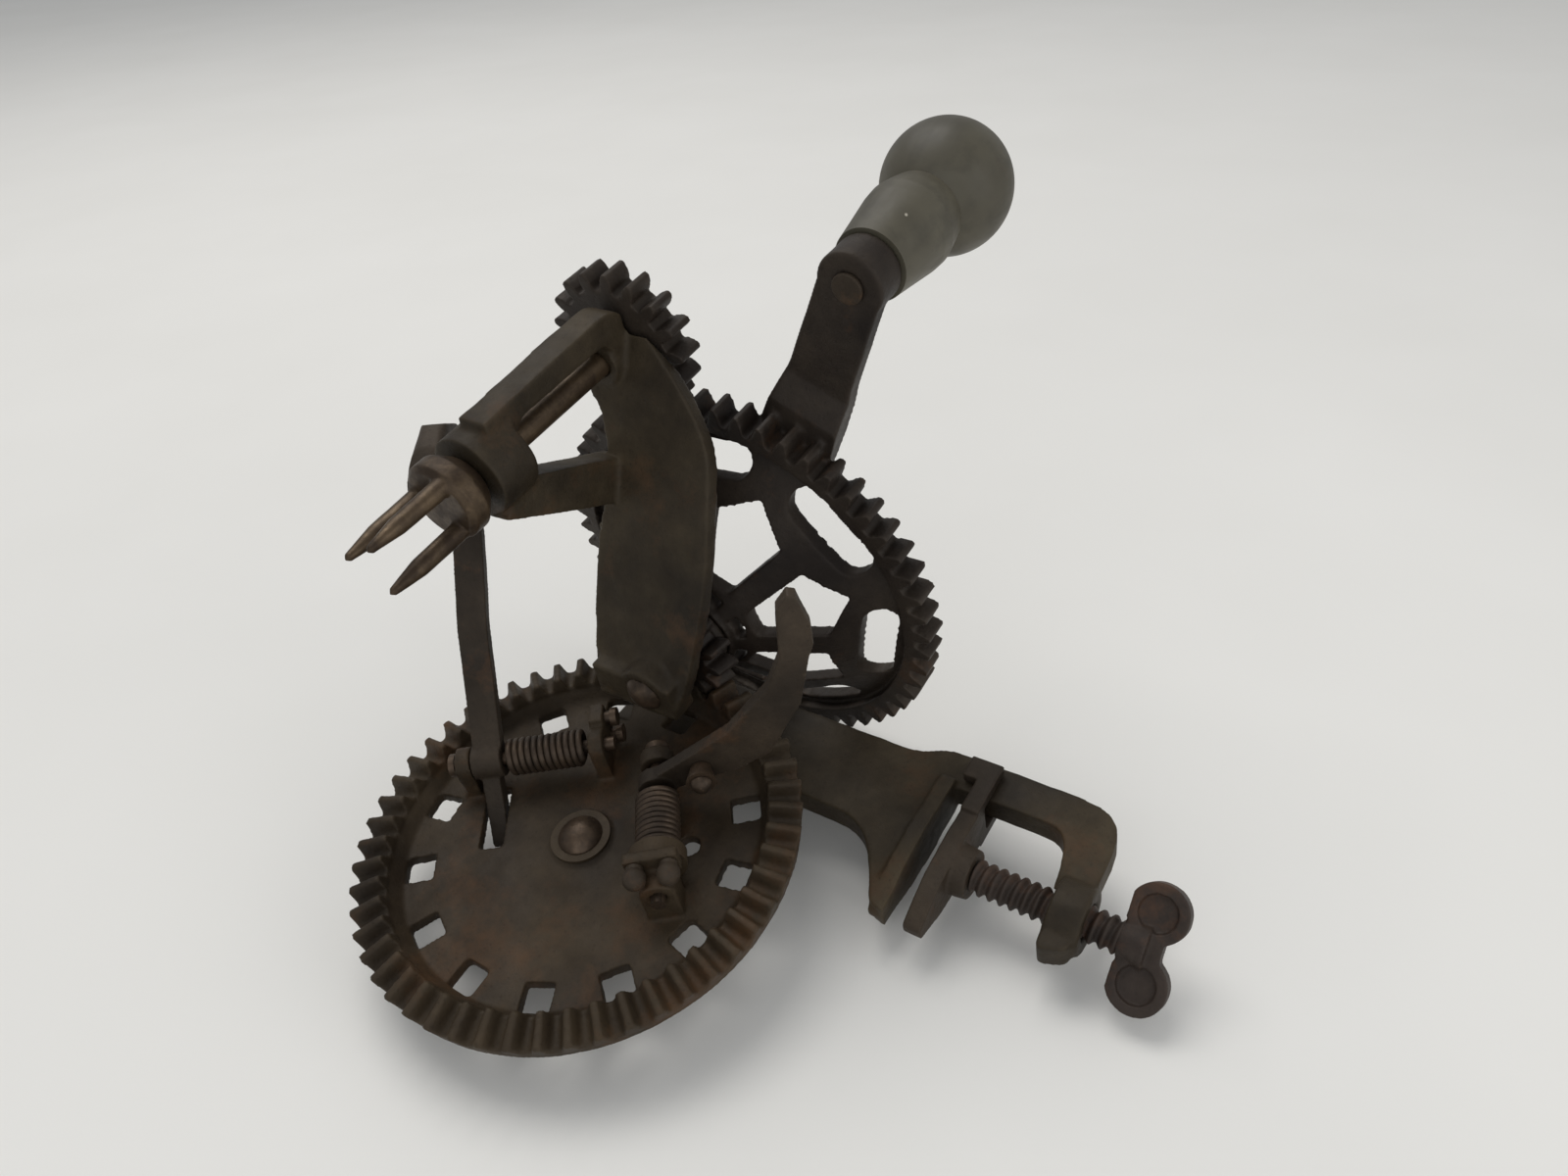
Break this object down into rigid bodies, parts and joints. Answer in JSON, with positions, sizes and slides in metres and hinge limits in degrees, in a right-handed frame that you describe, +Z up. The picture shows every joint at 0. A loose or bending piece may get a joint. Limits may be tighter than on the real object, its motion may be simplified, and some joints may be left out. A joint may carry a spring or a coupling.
{
  "type": "apple peeler corer",
  "caption": "Clamp-on cast-iron apple parer: a hand crank gear turns a fork spindle and a bevel-geared turntable that carries sprung arms.",
  "frame": {"origin": "middle of the fixed clamp jaw's underside, on the clamp screw's axis", "axes": "+Z up out of the table, +X the way the turntable faces, +Y the side the crank is on"},
  "size_m": [0.15, 0.1905, 0.1774],
  "materials": {
    "cast_iron": "dark brown patina with rust, rough",
    "worn_steel": "brown, polished by use",
    "dark_steel": "dark, worn on the heads",
    "spring_steel": "dark oiled wire",
    "old_wood": "worn olive-grey paint, satin"
  },
  "bodies": {
    "frame": {"frame_casting": "cast_iron", "table_stud": "dark_steel", "table_stud_washer": "spring_steel", "drive_stud": "dark_steel", "drive_stud_washer": "spring_steel"},
    "crank": {"drive_gear": "cast_iron", "bevel_pinion": "cast_iron", "knob_pin": "dark_steel"},
    "knob": {"knob": "old_wood"},
    "fork": {"fork_spindle": "worn_steel", "fork_pinion": "cast_iron", "fork_head": "worn_steel"},
    "turntable": {"turntable": "cast_iron", "parer_arm_pin": "dark_steel", "parer_spring": "spring_steel", "parer_spring_pin": "dark_steel", "pusher_pin": "dark_steel", "pusher_spring": "spring_steel", "pusher_washer": "spring_steel", "pusher_anchor_pins": "dark_steel"},
    "parer_arm": {"parer_arm": "cast_iron"},
    "pusher_arm": {"pusher_arm": "cast_iron", "pusher_rivet": "dark_steel", "pusher_rivet_washer": "spring_steel"},
    "clamp_jaw": {"clamp_jaw": "cast_iron"},
    "clamp_screw": {"clamp_screw": "cast_iron"}
  },
  "joints": [
    {"name": "crank_turn", "type": "hinge", "parent": "frame", "child": "crank", "pos_m": [0.0312, 0, 0.066], "axis": [0, 1, 0], "range_deg": [-15, 90]},
    {"name": "knob_spin", "type": "hinge", "parent": "crank", "child": "knob", "pos_m": [0.11387, 0, 0.02797], "axis": [0, 1, 0], "continuous": true},
    {"name": "fork_spin", "type": "hinge", "parent": "frame", "child": "fork", "pos_m": [0.09627, 0, 0.08374], "axis": [0, 1, 0], "range_deg": [-290, 50]},
    {"name": "table_turn", "type": "hinge", "parent": "frame", "child": "turntable", "pos_m": [0.014, -0.0375, 0.066], "axis": [1, 0, 0], "range_deg": [-4, 23]},
    {"name": "parer_swing", "type": "hinge", "parent": "turntable", "child": "parer_arm", "pos_m": [0.022, -0.0333, 0.0953], "axis": [0, 0.5664, -0.8241], "range_deg": [-30, 0], "stiffness_Nm_per_rad": 0.12, "springref_deg": 20.05},
    {"name": "pusher_swing", "type": "hinge", "parent": "turntable", "child": "pusher_arm", "pos_m": [0.022, -0.0215, 0.0535], "axis": [0, -0.7997, -0.6004], "range_deg": [0, 30], "stiffness_Nm_per_rad": 0.12, "springref_deg": -20.05},
    {"name": "jaw_slide", "type": "slide", "parent": "frame", "child": "clamp_jaw", "axis": [0, 0, -1], "range_m": [-0.0044, 0.014]},
    {"name": "screw_turn", "type": "hinge", "parent": "clamp_jaw", "child": "clamp_screw", "pos_m": [0, 0, -0.05], "axis": [0, 0, -1], "range_deg": [-650, 2030]}
  ],
  "couplings": [
    {"joint": "fork_spin", "follows": "crank_turn", "ratio": -3.1765},
    {"joint": "table_turn", "follows": "crank_turn", "ratio": 0.25},
    {"joint": "screw_turn", "follows": "jaw_slide", "rad_per_m": 2513.3}
  ]
}
